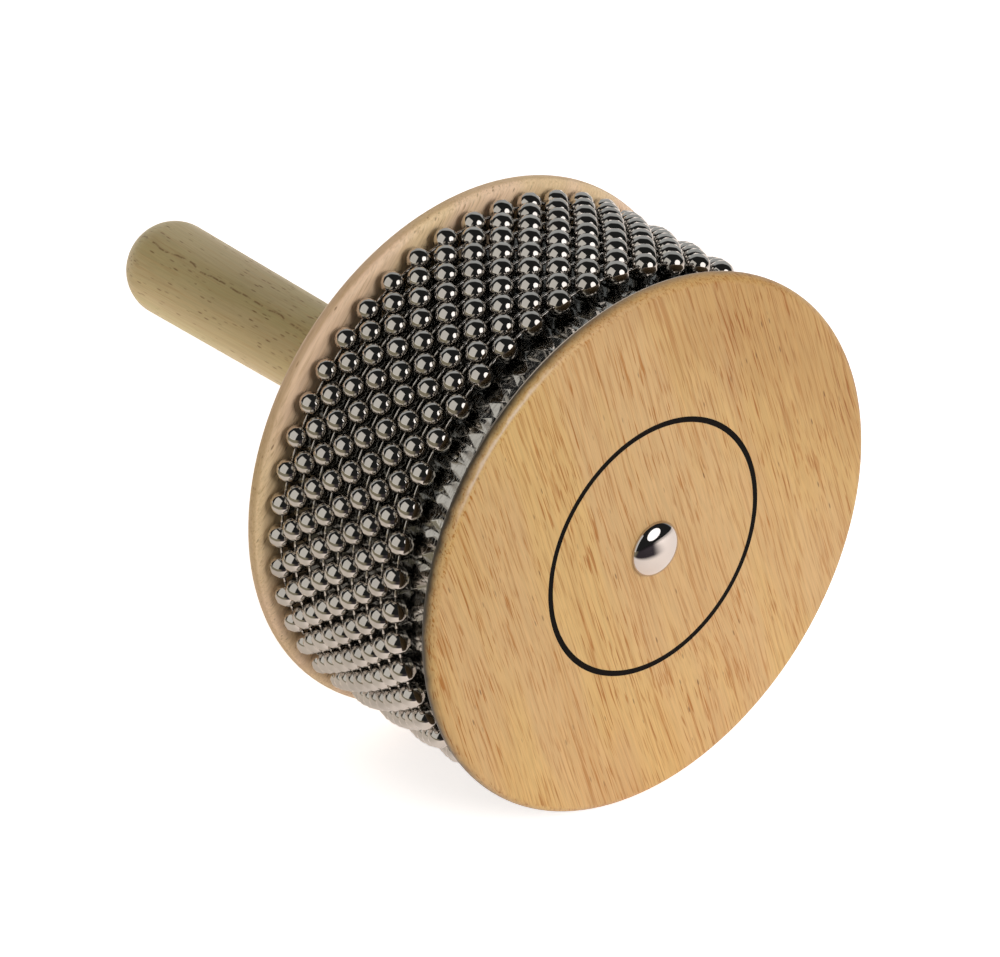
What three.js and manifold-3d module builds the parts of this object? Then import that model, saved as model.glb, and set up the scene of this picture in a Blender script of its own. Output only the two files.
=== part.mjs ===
// Cabasa: a hand percussion instrument. Loops of ball chain turn round a textured steel sleeve,
// which sits on a wooden core between two wooden discs, all held on a handle by one bolt.
// Lengths are in millimetres. The drum's axis is level and lies along Y, with the front disc
// towards -Y and the handle towards +Y, and both discs stand on the plane Z = 0.

import * as THREE from 'three';
import { mergeVertices } from 'three/addons/utils/BufferGeometryUtils.js';
import Module from 'manifold-3d';

const wasm = await Module();
wasm.setup();

// Wooden discs
const discRadius = 57;
const discThickness = 4;
const discEdgeRadius = 1.3;
const discSides = 48;
const discEdgeSteps = 2;
const rimOverBeads = 1; // how far the rims stand out past the beads
const faceLineRadius = 26.9; // the printed ring on the front face

// Drum between the discs
const drumWidth = 47.7;
const embossDepth = 0.8;
const sheetThickness = 0.5;
const embossPitch = 6.6;

// Ball chain
const beadRadius = 2.6;
const linkLength = 2.1;
const linkRadius = 0.55;
const beadSides = 5;
const linkSides = 3;
const shoulderShare = 1 / Math.sqrt(5); // of a bead's radius, as on a body of twenty equal faces
const halfSideShare = 0.5; // the turn between a bead's two rings of shoulders
const beadToSleeve = 0.3;
const beadToBead = 0.4; // between the beads of two neighbouring loops
const loopPlay = 0.1; // more than the seat gap, between the first loop and the back disc
const bareSleeveWidth = 8.2; // the least width that the loops leave free
const firstBeadShare = 0.52; // of one bead step, from the top of the first loop

// Handle, thickest beside its tip
const handleRadius = 10.35;
const handleWaistRadius = 9.55;
const handleFrontRadius = 9.2;
const handleWaist = 57; // from the back disc
const handleLength = 102.7;
const handleTipRadius = 9.4;
const handleEdgeRadius = 0.6;
const handleSides = 24;
const handleTipSteps = 5;
const handleEdgeSteps = 1;

// Bolt and its insert
const boltRadius = 2.4;
const boltReach = 20; // into the handle
const boltTipChamfer = 0.6;
const headRadius = 5.9;
const headHeight = 2.5;
const headEdgeHeight = 0.4;
const headSteps = 4;
const neckSide = 4.8;
const neckLength = 3;
const boltSides = 20;
const insertWall = 1.8;
const insertLength = 16;

// Clearances
const seatGap = 0.3; // between pieces that bear on each other
const boreGap = 0.3; // round whatever passes through a hole

// Places along the axis, measured from the front disc's outer face
const coreFront = discThickness + seatGap;
const coreBack = coreFront + drumWidth;
const backDiscFront = coreBack + seatGap;
const backDiscBack = backDiscFront + discThickness;
const handleFront = backDiscBack + seatGap;
const handleBack = handleFront + handleLength;
const headTop = -seatGap - headHeight;
const boltTip = handleFront + boltReach;
const fullLength = handleBack - headTop;

// Ball chain and sleeve, worked out
const beadCircleRadius = discRadius - rimOverBeads - beadRadius;
const sleeveRadius = beadCircleRadius - beadRadius - beadToSleeve; // to the tips of the embossing
const innerSleeveRadius = sleeveRadius - embossDepth - sheetThickness;
const sleeveColumns = 2 * Math.round(Math.PI * sleeveRadius / embossPitch);
const sleeveRows = 2 * Math.round(drumWidth / embossPitch / 2);
const beadStep = 2 * beadRadius + linkLength;
const beadsPerLoop = Math.round(2 * Math.PI * beadCircleRadius / beadStep);
const beadAngle = 2 * Math.PI / beadsPerLoop;
const loopSpacing = Math.sqrt((2 * beadRadius + beadToBead) ** 2 - (beadStep / 2) ** 2);
const firstLoop = coreBack - loopPlay - beadRadius;
const lastLoopLimit = coreFront + bareSleeveWidth + beadRadius;
const loopCount = 1 + Math.floor((firstLoop - lastLoopLimit) / loopSpacing);

// Colours
const varnishedWood = new THREE.Color(0.80, 0.62, 0.40);
const paleWood = new THREE.Color(0.74, 0.62, 0.47);
const coreWood = new THREE.Color(0.70, 0.58, 0.42);
const steel = new THREE.Color(0.62, 0.61, 0.60);
const brass = new THREE.Color(0.72, 0.56, 0.28);

// A rounded edge as profile points, from one angle to another about a centre
function arc(centreRadius, centreY, radius, from, to, steps) {
  const points = [];
  for (let i = 0; i <= steps; i++) {
    const angle = from + (to - from) * i / steps;
    points.push([centreRadius + radius * Math.cos(angle), centreY + radius * Math.sin(angle)]);
  }
  return points;
}

// A profile of [radius, y] points turned round the Y axis, with a flat side facing down
function turned(profile, sides) {
  const points = profile.map(([radius, y]) => new THREE.Vector2(radius, y));
  return new THREE.LatheGeometry(points, sides, Math.PI / sides, 2 * Math.PI);
}

// The radius to the corners of a polygon whose flats lie at the given radius
function cornerRadius(flatRadius, sides) {
  return flatRadius / Math.cos(Math.PI / sides);
}

// A closed skin over rings of points. Each ring is a list of { point, share }, with the shares
// of a turn rising from below one, and neighbouring rings may differ in their number of points.
function ringSkin(rings) {
  const positions = [];
  const indices = [];
  const starts = [];
  for (const ring of rings) {
    starts.push(positions.length / 3);
    for (const { point } of ring) positions.push(point.x, point.y, point.z);
  }
  for (let r = 0; r < rings.length; r++) {
    const next = (r + 1) % rings.length;
    stitch(rings[r], starts[r], rings[next], starts[next], indices);
  }
  const geometry = new THREE.BufferGeometry();
  geometry.setAttribute('position', new THREE.Float32BufferAttribute(positions, 3));
  geometry.setIndex(indices);
  return geometry;
}

// Triangles between two rings, taking whichever ring's next point comes first
function stitch(a, aStart, b, bStart, indices) {
  const shareAt = (ring, i) => i < ring.length ? ring[i].share : ring[0].share + 1;
  let i = 0;
  let j = 0;
  while (i < a.length || j < b.length) {
    const onA = j >= b.length || (i < a.length && shareAt(a, i + 1) <= shareAt(b, j + 1));
    const aHere = aStart + i % a.length;
    const bHere = bStart + j % b.length;
    if (onA) {
      indices.push(aHere, aStart + (i + 1) % a.length, bHere);
      i++;
    } else {
      indices.push(aHere, bStart + (j + 1) % b.length, bHere);
      j++;
    }
  }
}

// A ring of points round the chain's wire, at a turn round the drum's axis
function wireRing(turn, radius, sides, startShare) {
  const ring = [];
  for (let i = 0; i < sides; i++) {
    const share = (i + startShare) / sides;
    const out = beadCircleRadius + radius * Math.cos(2 * Math.PI * share);
    const along = -radius * Math.sin(2 * Math.PI * share);
    const point = new THREE.Vector3(out * Math.sin(turn), along, out * Math.cos(turn));
    ring.push({ point, share });
  }
  return ring;
}

// One closed loop of ball chain: each bead has two rings of shoulders and a neck at each end
function chainLoop() {
  const shoulderOffset = beadRadius * shoulderShare;
  const shoulderRadius = 2 * shoulderOffset;
  const neckOffset = Math.sqrt(beadRadius ** 2 - linkRadius ** 2);
  const shoulderTurn = shoulderOffset / beadCircleRadius;
  const neckTurn = neckOffset / beadCircleRadius;
  const rings = [];
  for (let bead = 0; bead < beadsPerLoop; bead++) {
    const middle = bead * beadAngle;
    rings.push(wireRing(middle - neckTurn, linkRadius, linkSides, 0));
    rings.push(wireRing(middle - shoulderTurn, shoulderRadius, beadSides, 0));
    rings.push(wireRing(middle + shoulderTurn, shoulderRadius, beadSides, halfSideShare));
    rings.push(wireRing(middle + neckTurn, linkRadius, linkSides, 0));
  }
  return ringSkin(rings);
}

// The steel sleeve: a thin sheet round the core, embossed with rows of low points
function embossedSleeve() {
  const valleyRadius = sleeveRadius - embossDepth;
  const circle = (y, radiusAt) => {
    const ring = [];
    for (let i = 0; i < sleeveColumns; i++) {
      const share = i / sleeveColumns;
      const turn = 2 * Math.PI * share;
      const radius = radiusAt(i);
      const point = new THREE.Vector3(radius * Math.sin(turn), y, radius * Math.cos(turn));
      ring.push({ point, share });
    }
    return ring;
  };
  const rings = [circle(coreBack, () => innerSleeveRadius), circle(coreFront, () => innerSleeveRadius)];
  for (let row = 0; row <= sleeveRows; row++) {
    const y = coreFront + drumWidth * row / sleeveRows;
    const inside = row > 0 && row < sleeveRows;
    rings.push(circle(y, (i) => inside && (i + row) % 2 === 0 ? sleeveRadius : valleyRadius));
  }
  return ringSkin(rings);
}

// Everything is turned into one closed surface with its faces pointing out
function closed(geometry) {
  geometry.deleteAttribute('normal');
  geometry.deleteAttribute('uv');
  return mergeVertices(geometry);
}

function solid(geometry) {
  const merged = closed(geometry);
  const vertProperties = new Float32Array(merged.getAttribute('position').array);
  const triVerts = new Uint32Array(merged.getIndex().array);
  return new wasm.Manifold(new wasm.Mesh({ numProp: 3, vertProperties, triVerts }));
}

function fromSolid(body) {
  const mesh = body.getMesh();
  const geometry = new THREE.BufferGeometry();
  geometry.setAttribute('position', new THREE.BufferAttribute(mesh.vertProperties, 3));
  geometry.setIndex(new THREE.BufferAttribute(mesh.triVerts, 1));
  return geometry;
}

// A wooden disc with rounded edges and a hole, from its front face at y = 0 to its back face
function woodenDisc(holeRadius, faceLines) {
  const rim = cornerRadius(discRadius, discSides);
  const centre = rim - discEdgeRadius;
  const back = discThickness - discEdgeRadius;
  const quarter = Math.PI / 2;
  const profile = [
    [holeRadius, 0],
    ...faceLines.map((radius) => [radius, 0]),
    ...arc(centre, discEdgeRadius, discEdgeRadius, -quarter, 0, discEdgeSteps),
    ...arc(centre, back, discEdgeRadius, 0, quarter, discEdgeSteps),
    [holeRadius, discThickness],
    [holeRadius, 0],
  ];
  return turned(profile, discSides);
}

// The profile of a plain tube
function tube(innerRadius, outerRadius, length) {
  return [
    [innerRadius, 0],
    [outerRadius, 0],
    [outerRadius, length],
    [innerRadius, length],
    [innerRadius, 0],
  ];
}

// The wooden core: a plain drum with a hole for the bolt
function drumCore() {
  const radius = innerSleeveRadius * Math.cos(Math.PI / sleeveColumns) - boreGap;
  return turned(tube(boltRadius + boreGap, radius, drumWidth), discSides);
}

// The handle: it swells a little towards its round tip, and has a stepped bore for the insert and
// the bolt's end
function handleBody() {
  const insertBore = insertWall + boltRadius + 2 * boreGap;
  const boltBore = boltRadius + boreGap;
  const insertDepth = insertLength + seatGap;
  const boreDepth = boltReach + seatGap;
  const quarter = Math.PI / 2;
  const profile = [
    [0, boreDepth],
    [boltBore, boreDepth],
    [boltBore, insertDepth],
    [insertBore, insertDepth],
    [insertBore, 0],
    ...arc(handleFrontRadius - handleEdgeRadius, handleEdgeRadius, handleEdgeRadius,
      -quarter, 0, handleEdgeSteps),
    [handleWaistRadius, handleWaist],
    ...arc(handleRadius - handleTipRadius, handleLength - handleTipRadius, handleTipRadius,
      0, quarter, handleTipSteps),
    [0, handleLength],
  ];
  return turned(profile, handleSides);
}

// The threaded insert: a plain bush here, with the bolt clear of its bore
function insertBush() {
  const inner = boltRadius + boreGap;
  return turned(tube(inner, inner + insertWall, insertLength), boltSides);
}

// The bolt: a low domed head, a square neck that stops it turning, and a plain shank
function carriageBolt() {
  const underHead = -seatGap;
  const domeRadius = (headRadius ** 2 + (headHeight - headEdgeHeight) ** 2)
    / (2 * (headHeight - headEdgeHeight));
  const domeCentre = headTop + domeRadius;
  const halfAngle = Math.asin(headRadius / domeRadius);
  const dome = [];
  for (let i = 0; i <= headSteps; i++) {
    const angle = halfAngle * i / headSteps;
    dome.push([domeRadius * Math.sin(angle), domeCentre - domeRadius * Math.cos(angle)]);
  }
  dome[0][0] = 0;
  const profile = [
    ...dome,
    [headRadius, underHead],
    [boltRadius, underHead],
    [boltRadius, boltTip - boltTipChamfer],
    [boltRadius - boltTipChamfer, boltTip],
    [0, boltTip],
  ];
  const neck = new THREE.BoxGeometry(neckSide, neckLength, neckSide);
  neck.translate(0, underHead + neckLength / 2, 0);
  return fromSolid(solid(turned(profile, boltSides)).add(solid(neck)));
}

// Materials and the scene
function material(colour, roughness, metalness) {
  return new THREE.MeshStandardMaterial({ color: colour, roughness, metalness });
}

function piece(name, geometry, look, y, parent) {
  const mesh = new THREE.Mesh(closed(geometry), look);
  mesh.name = name;
  mesh.position.y = y;
  parent.add(mesh);
  return mesh;
}

const cabasa = new THREE.Group();
cabasa.position.set(0, -fullLength / 2 - headTop, discRadius);

const neckHole = neckSide / Math.SQRT2 + boreGap;
const plainHole = boltRadius + boreGap;
piece('front_disc', woodenDisc(neckHole, [faceLineRadius]), material(varnishedWood, 0.35, 0), 0, cabasa);
piece('back_disc', woodenDisc(plainHole, []), material(paleWood, 0.5, 0), backDiscFront, cabasa);
piece('drum_core', drumCore(), material(coreWood, 0.7, 0), coreFront, cabasa);
piece('steel_sleeve', embossedSleeve(), material(steel, 0.2, 1), 0, cabasa);
piece('handle', handleBody(), material(paleWood, 0.5, 0), handleFront, cabasa);
piece('handle_insert', insertBush(), material(brass, 0.4, 1), handleFront, cabasa);
piece('carriage_bolt', carriageBolt(), material(steel, 0.15, 1), 0, cabasa);

const chains = new THREE.Group();
cabasa.add(chains);
for (let loop = 0; loop < loopCount; loop++) {
  const y = firstLoop - loop * loopSpacing;
  const mesh = piece(`bead_loop_${loop + 1}`, chainLoop(), material(steel, 0.12, 1), y, chains);
  mesh.rotation.y = -(firstBeadShare + loop / 2) * beadAngle;
}

export default cabasa;
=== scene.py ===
"""A hand-held cabasa, dressed piece by piece around its packed frame.

The two wooden discs, the handle, the embossed steel sleeve, the nine loops of ball chain and the bolt
are modelled here. Lengths are in metres. The drum's axis is level and lies along Y, with the front disc
towards -Y.
"""

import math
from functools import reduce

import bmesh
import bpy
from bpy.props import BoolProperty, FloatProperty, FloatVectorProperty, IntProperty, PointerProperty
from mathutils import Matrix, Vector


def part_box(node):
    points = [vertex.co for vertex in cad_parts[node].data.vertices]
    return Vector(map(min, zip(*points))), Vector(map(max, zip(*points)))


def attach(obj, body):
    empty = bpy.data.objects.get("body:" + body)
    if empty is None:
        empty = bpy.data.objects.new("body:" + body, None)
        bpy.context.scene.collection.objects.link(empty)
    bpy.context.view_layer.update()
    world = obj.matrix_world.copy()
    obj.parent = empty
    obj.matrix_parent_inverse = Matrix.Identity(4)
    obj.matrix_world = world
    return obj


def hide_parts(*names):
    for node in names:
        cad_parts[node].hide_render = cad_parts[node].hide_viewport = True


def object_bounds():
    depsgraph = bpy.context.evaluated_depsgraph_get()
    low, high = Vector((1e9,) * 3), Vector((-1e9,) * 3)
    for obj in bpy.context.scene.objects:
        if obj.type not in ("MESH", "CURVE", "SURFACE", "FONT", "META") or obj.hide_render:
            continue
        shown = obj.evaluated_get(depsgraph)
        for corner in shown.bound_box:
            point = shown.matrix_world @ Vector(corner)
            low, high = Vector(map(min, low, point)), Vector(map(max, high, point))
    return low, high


bl_info = {
    "name": "Cabasa",
    "version": (1, 0, 0),
    "blender": (4, 5, 0),
    "location": "3D View > Sidebar > Cabasa",
    "description": "Models a hand-held cabasa: wooden discs, steel sleeve, bead loops, handle and bolt",
    "category": "Mesh",
}

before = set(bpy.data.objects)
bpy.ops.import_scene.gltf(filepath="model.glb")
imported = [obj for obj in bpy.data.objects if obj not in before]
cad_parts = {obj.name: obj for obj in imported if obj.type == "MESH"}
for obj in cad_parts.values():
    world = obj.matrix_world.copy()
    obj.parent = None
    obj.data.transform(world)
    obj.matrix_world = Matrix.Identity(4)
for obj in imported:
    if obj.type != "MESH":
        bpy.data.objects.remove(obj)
cad_box = [list(corner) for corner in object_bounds()]

# Places that come from the frame
FRONT_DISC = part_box("front_disc")
BACK_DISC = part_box("back_disc")
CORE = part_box("drum_core")
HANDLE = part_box("handle")
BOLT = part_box("carriage_bolt")
DISC_RADIUS = (FRONT_DISC[1].z - FRONT_DISC[0].z) / 2
AXIS_HEIGHT = FRONT_DISC[0].z + DISC_RADIUS
FRONT_FACE = FRONT_DISC[0].y
LOOP_NODES = sorted(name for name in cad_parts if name.startswith("bead_loop_"))
FIXED_BODY = "drum_and_handle"
QUARTER_TURN = math.pi / 2
MERGE_DISTANCE = 1e-7
ROUND_PROFILE = 0.5  # a bevel's quarter circle


class CabasaDiscs(bpy.types.PropertyGroup):
    """Sizes of the two wooden discs"""

    sides: IntProperty(name="Sides", description="Facets round a disc", default=144, min=24)
    edge_radius: FloatProperty(
        name="Edge radius", description="Rounding of the rim's edges", default=0.00185, unit="LENGTH")
    edge_steps: IntProperty(name="Edge steps", description="Facets across a rounded edge", default=8)
    hole_radius: FloatProperty(
        name="Hole radius", description="Hole for the bolt", default=0.0037, unit="LENGTH")
    ring_radius: FloatProperty(
        name="Ring radius", description="Middle of the thin printed ring", default=0.0269, unit="LENGTH")
    ring_width: FloatProperty(
        name="Ring width", description="Width of the printed line", default=0.0012, unit="LENGTH")
    ring_lift: FloatProperty(
        name="Ring lift", description="How far the ring's centre is above the bolt's", default=0.0003,
        unit="LENGTH")


class CabasaSleeve(bpy.types.PropertyGroup):
    """Sizes of the embossed steel sleeve"""

    radius: FloatProperty(
        name="Radius", description="To the tips of the points", default=0.0505, unit="LENGTH")
    pitch: FloatProperty(
        name="Pitch", description="From one pressed point to the next round the drum", default=0.0036,
        unit="LENGTH")
    row_pitch: FloatProperty(
        name="Row pitch", description="From one row of points to the next", default=0.0053, unit="LENGTH")
    depth: FloatProperty(name="Depth", description="Height of a point", default=0.0007, unit="LENGTH")
    tip: FloatProperty(
        name="Tip", description="Rounding at the tip of a point", default=0.0005, unit="LENGTH")
    sheet: FloatProperty(name="Sheet", description="Thickness of the sheet", default=0.0005, unit="LENGTH")
    # Beyond this strip, the sleeve gets painted shade for the shade between the beads
    lit_strip: FloatProperty(
        name="Clean strip", description="Bright strip beside the front disc, which the beads don't blacken",
        default=0.0092, unit="LENGTH")


class CabasaChain(bpy.types.PropertyGroup):
    """Sizes of the ball chain"""

    circle_radius: FloatProperty(
        name="Circle radius", description="From the axis to a bead's centre", default=0.0534, unit="LENGTH")
    bead_radius: FloatProperty(
        name="Bead radius", description="Radius of a ball", default=0.00265, unit="LENGTH")
    bead_length: FloatProperty(
        name="Bead length", description="A ball's length along the chain, as a share of its width",
        default=0.97)
    link_radius: FloatProperty(
        name="Link radius", description="Radius of the bar between two balls", default=0.0003, unit="LENGTH")
    link_middle: FloatProperty(
        name="Link middle", description="Length of the bar between its drawn-in ends", default=0.0014,
        unit="LENGTH")
    beads: IntProperty(name="Beads", description="Balls in one loop", default=46, min=3)
    first_share: FloatProperty(
        name="First bead", description="Place of the first bead, as a share of a step", default=0.52)
    slack: FloatProperty(
        name="Slack", description="How much of its loose lie a loop gets: none is an even circle",
        default=1.0, min=0.0, max=1.0)
    bead_segments: IntProperty(name="Segments", description="Facets round a ball", default=12)
    bead_rings: IntProperty(name="Rings", description="Facets from pole to pole", default=7)


class CabasaHandle(bpy.types.PropertyGroup):
    """Sizes of the handle"""

    tip_radius: FloatProperty(
        name="Tip radius", description="Rounding of the free end", default=0.0094, unit="LENGTH")
    waist: FloatProperty(
        name="Waist", description="From the disc to where the handle starts to swell", default=0.057,
        unit="LENGTH")
    waist_radius: FloatProperty(
        name="Waist radius", description="Radius there", default=0.00955, unit="LENGTH")
    disc_end_radius: FloatProperty(
        name="Disc end radius", description="Radius beside the disc", default=0.0092, unit="LENGTH")
    edge_radius: FloatProperty(
        name="Edge radius", description="Rounding beside the disc", default=0.0006, unit="LENGTH")
    bore_radius: FloatProperty(
        name="Bore radius", description="Bore for the insert", default=0.0048, unit="LENGTH")
    bore_depth: FloatProperty(
        name="Bore depth", description="Depth of the bore", default=0.0203, unit="LENGTH")
    sides: IntProperty(name="Sides", description="Facets round the handle", default=72)


class CabasaBolt(bpy.types.PropertyGroup):
    """Sizes of the carriage bolt"""

    head_radius: FloatProperty(
        name="Head radius", description="Radius of the domed head", default=0.0059, unit="LENGTH")
    rim_height: FloatProperty(
        name="Rim height", description="Height of the head's upright rim", default=0.0003, unit="LENGTH")
    neck_side: FloatProperty(
        name="Neck", description="Side of the square neck", default=0.0048, unit="LENGTH")
    neck_length: FloatProperty(
        name="Neck length", description="Length of the square neck", default=0.003, unit="LENGTH")
    shank_radius: FloatProperty(
        name="Shank radius", description="Radius of the shank", default=0.0024, unit="LENGTH")
    sides: IntProperty(name="Sides", description="Facets round the bolt", default=64)


class CabasaFinish(bpy.types.PropertyGroup):
    """Colours and finishes of the wood and the metal"""

    gold_light: FloatVectorProperty(
        name="Gold light", description="Golden tone of the front disc", subtype="COLOR",
        default=(0.68, 0.445, 0.175))
    gold_rosy: FloatVectorProperty(
        name="Gold rosy", description="Pinker tone of the front disc", subtype="COLOR",
        default=(0.65, 0.42, 0.19))
    gold_dark: FloatVectorProperty(
        name="Gold dark", description="Dark streaks of the front disc", subtype="COLOR",
        default=(0.43, 0.175, 0.034))
    # Painted shade on the front disc's rim, heaviest on the left, and on its inner side
    rim_painted_shade: FloatVectorProperty(
        name="Rim dark", description="Darkened rim of the front disc", subtype="COLOR",
        default=(0.045, 0.032, 0.018))
    # Painted highlights along the front disc's rim edges
    rim_painted_highlight: FloatVectorProperty(
        name="Rim pale", description="Rubbed edges of that rim", subtype="COLOR",
        default=(0.78, 0.66, 0.55))
    gold_deep: FloatVectorProperty(
        name="Gold deep", description="Filter that deepens the front disc's upper right",
        subtype="COLOR", default=(0.83, 0.77, 0.72))
    pale_light: FloatVectorProperty(
        name="Pale light", description="Tan tone of the back disc", subtype="COLOR",
        default=(0.80, 0.60, 0.36))
    pale_rosy: FloatVectorProperty(
        name="Pale rosy", description="Pinker tone of the back disc", subtype="COLOR",
        default=(0.84, 0.61, 0.43))
    # The handle's tones are darker and more olive than the back disc's pale wood: painted shade, for the
    # handle lying in the drum's shadow
    shaded_olive_light: FloatVectorProperty(
        name="Olive light", description="Olive tone of the handle", subtype="COLOR",
        default=(0.45, 0.385, 0.17))
    shaded_olive_rosy: FloatVectorProperty(
        name="Olive rosy", description="Pinker tone of the handle", subtype="COLOR",
        default=(0.51, 0.41, 0.22))
    pale_dark: FloatVectorProperty(
        name="Pale dark", description="Dark streaks of the back disc and the handle", subtype="COLOR",
        default=(0.44, 0.27, 0.12))
    fleck: FloatVectorProperty(
        name="Flecks", description="Short dark pores in the wood", subtype="COLOR",
        default=(0.16, 0.075, 0.028))
    ink: FloatVectorProperty(
        name="Ink", description="The printed ring", subtype="COLOR", default=(0.004, 0.003, 0.0025))
    nickel: FloatVectorProperty(
        name="Nickel", description="Plated beads", subtype="COLOR", default=(0.61, 0.575, 0.54))
    steel: FloatVectorProperty(
        name="Steel", description="Bright sleeve", subtype="COLOR", default=(0.55, 0.53, 0.50))
    # Painted shade on the sleeve between the beads
    steel_painted_shade: FloatVectorProperty(
        name="Dark steel", description="The sleeve where the beads rub it", subtype="COLOR",
        default=(0.13, 0.13, 0.125))
    chrome: FloatVectorProperty(
        name="Chrome", description="Plated bolt", subtype="COLOR", default=(0.66, 0.62, 0.60))
    brass: FloatVectorProperty(
        name="Brass", description="Hidden insert", subtype="COLOR", default=(0.58, 0.38, 0.12))
    grain_lean: FloatProperty(
        name="Grain lean", description="Lean of the front disc's grain from upright", subtype="ANGLE",
        default=math.radians(18))


class CabasaStage(bpy.types.PropertyGroup):
    """Camera, floor and lights"""

    azimuth: FloatProperty(
        name="Azimuth", description="Where the camera stands round the object", subtype="ANGLE",
        default=math.radians(-41.08))
    elevation: FloatProperty(
        name="Elevation", description="How high the camera stands", subtype="ANGLE",
        default=math.radians(30.64))
    distance: FloatProperty(
        name="Distance", description="From the camera to the front disc, along the view", default=1.2261,
        unit="LENGTH")
    centre_right: FloatProperty(
        name="Centre right", description="The front disc's centre, right of the picture's middle",
        default=0.0300, unit="LENGTH")
    centre_down: FloatProperty(
        name="Centre down", description="The front disc's centre, below the picture's middle",
        default=0.0136, unit="LENGTH")
    lens: FloatProperty(name="Lens", description="Focal length in millimetres", default=226.66)
    floor: FloatVectorProperty(
        name="Floor", description="Colour of the floor", subtype="COLOR", default=(0.84, 0.82, 0.81))
    floor_glow: FloatProperty(
        name="Floor glow", description="How much paler the floor looks to the camera", default=0.8, min=0.0)
    table: FloatVectorProperty(
        name="Table", description="Colour of the floor near the object, as the object is lit by it",
        subtype="COLOR", default=(0.86, 0.79, 0.74))
    table_glow: FloatProperty(
        name="Table glow", description="How much brighter the near floor is in reflections", default=0.5,
        min=0.0)
    room: FloatVectorProperty(
        name="Room", description="Colour of the floor further off on the left, in reflections",
        subtype="COLOR", default=(0.22, 0.20, 0.14))
    room_dark: FloatVectorProperty(
        name="Dark room", description="Colour of the floor further off in front, in reflections",
        subtype="COLOR", default=(0.03, 0.025, 0.03))
    table_reach: FloatProperty(
        name="Table reach", description="How far the bright floor reaches", default=0.155, unit="LENGTH")
    soft_light: FloatProperty(
        name="Soft light", description="Light from all round on wood and floor", default=0.1, min=0.0)
    sweep_light: FloatProperty(
        name="Sweep light", description="Brightness of the white sweep behind the object, in reflections",
        default=0.5, min=0.0)
    sweep_angle: FloatProperty(
        name="Sweep angle", description="Half the angle over which the white sweep is seen",
        subtype="ANGLE", default=math.radians(55))
    show_backdrop: BoolProperty(
        name="Pale backdrop", description="A pale background behind the floor's far edge", default=True)


# Selecting and editing

def begin():
    """Deselect everything, so that the next primitive is the only thing worked on."""
    bpy.ops.object.select_all(action="DESELECT")
    bpy.context.view_layer.objects.active = None


def named(name):
    """Name the primitive just added and put its place into its mesh."""
    piece = bpy.context.object
    piece.name = name
    piece.data.name = name
    bpy.ops.object.transform_apply(location=True, rotation=True, scale=True)
    return piece


def enter(kind="FACE"):
    """Go into edit mode with nothing selected."""
    bpy.ops.object.mode_set(mode="EDIT")
    bpy.ops.mesh.select_mode(type=kind)
    bpy.ops.mesh.select_all(action="DESELECT")


def leave():
    bpy.ops.object.mode_set(mode="OBJECT")


def pick(kind, test):
    """In edit mode, select the faces, edges or vertices that pass a test, and only those."""
    bpy.ops.mesh.select_mode(type=kind)
    bpy.ops.mesh.select_all(action="DESELECT")
    mesh = bpy.context.object.data
    shape = bmesh.from_edit_mesh(mesh)
    for part in {"FACE": shape.faces, "EDGE": shape.edges, "VERT": shape.verts}[kind]:
        if test(part):
            part.select_set(True)
    shape.select_flush_mode()
    bmesh.update_edit_mesh(mesh)


def axis_distance(point):
    """How far a point lies from the drum's axis."""
    return math.hypot(point.x, point.z - AXIS_HEIGHT)


def edge_at(edge, radius, y):
    """True for an edge of a circle round the axis, at a radius and a place along it."""
    tolerance = radius / 1000
    return all(
        abs(axis_distance(vertex.co) - radius) < tolerance and abs(vertex.co.y - y) < tolerance
        for vertex in edge.verts)


def smooth(piece, degrees=35):
    """Shade a piece smooth, but for edges sharper than an angle."""
    bpy.ops.object.select_all(action="DESELECT")
    piece.select_set(True)
    bpy.context.view_layer.objects.active = piece
    bpy.ops.object.shade_smooth_by_angle(angle=math.radians(degrees))


def add_drum(radius, front, back, sides, fill="NGON"):
    """A cylinder round the drum's axis, between two places along it."""
    bpy.ops.mesh.primitive_cylinder_add(
        vertices=sides, radius=radius, depth=back - front, end_fill_type=fill,
        location=(0, (front + back) / 2, AXIS_HEIGHT), rotation=(QUARTER_TURN, 0, 0))


def is_many_sided(face):
    return len(face.verts) > 4


def round_off(radius, steps):
    """In edit mode, round the selected edges."""
    bpy.ops.mesh.bevel(
        offset=radius, offset_type="OFFSET", segments=steps, profile=ROUND_PROFILE, affect="EDGES")


def push_back(distance):
    """In edit mode, extrude the selected faces along the drum's axis, away from the front."""
    bpy.ops.mesh.extrude_region_move(TRANSFORM_OT_translate={"value": (0, distance, 0)})


def scale_at(y, across, along=1):
    """In edit mode, scale what is selected across the axis and along it, from a place on the axis."""
    bpy.ops.transform.resize(value=(across, along, across), center_override=(0, y, AXIS_HEIGHT))


def mend_normals():
    """In edit mode, merge doubled vertices and turn every face outward."""
    bpy.ops.mesh.select_all(action="SELECT")
    bpy.ops.mesh.remove_doubles(threshold=MERGE_DISTANCE)
    bpy.ops.mesh.normals_make_consistent(inside=False)


# Shader helpers

def add_node(tree, kind, **settings):
    """Add a node and set its own settings."""
    node = tree.nodes.new(kind)
    for setting, value in settings.items():
        setattr(node, setting, value)
    return node


def feed(tree, socket, value):
    """Give an input either a link or a plain value."""
    if isinstance(value, bpy.types.NodeSocket):
        tree.links.new(value, socket)
    else:
        socket.default_value = value


def arithmetic(tree, operation, first, second, clamp=False):
    """The result of a sum on two values."""
    node = add_node(tree, "ShaderNodeMath", operation=operation, use_clamp=clamp)
    feed(tree, node.inputs[0], first)
    feed(tree, node.inputs[1], second)
    return node.outputs[0]


def product(tree, *values):
    """Multiply values, one after another."""
    return reduce(lambda first, second: arithmetic(tree, "MULTIPLY", first, second), values)


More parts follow.
